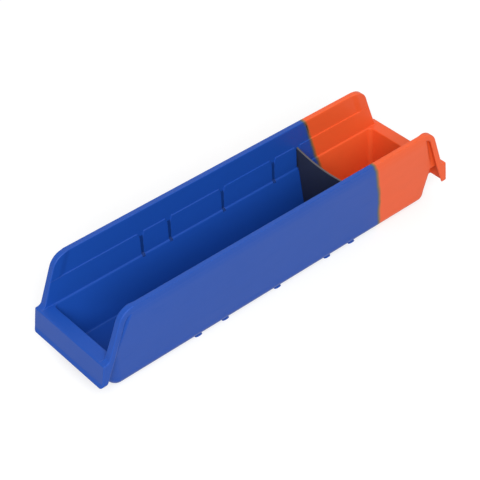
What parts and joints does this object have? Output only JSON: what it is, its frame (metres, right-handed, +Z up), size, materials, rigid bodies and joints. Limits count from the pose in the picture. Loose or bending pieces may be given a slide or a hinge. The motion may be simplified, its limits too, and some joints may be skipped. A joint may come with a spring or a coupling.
{
  "type": "shelf bin",
  "caption": "Long double-ended shelf bin moulded in two colours, with a sloped hopper mouth at each end and a lift-out cross divider held in slots.",
  "frame": {"origin": "middle of the bin in plan, at the level of the feet of its floor ribs", "axes": "+X along the bin towards the orange hopper end, +Y across it, +Z up"},
  "size_m": [0.454, 0.1048, 0.1016],
  "materials": {
    "blue_plastic": "satin moulded polypropylene",
    "orange_plastic": "satin moulded polypropylene",
    "black_plastic": "satin moulded polypropylene"
  },
  "bodies": {
    "bin": {"blue_shell": "blue_plastic", "orange_shell": "orange_plastic"},
    "divider": {"hopper_divider": "black_plastic"}
  },
  "joints": [
    {"name": "divider_lift", "type": "slide", "parent": "bin", "child": "divider", "axis": [0, 0, 1], "range_m": [0, 0.1]}
  ]
}
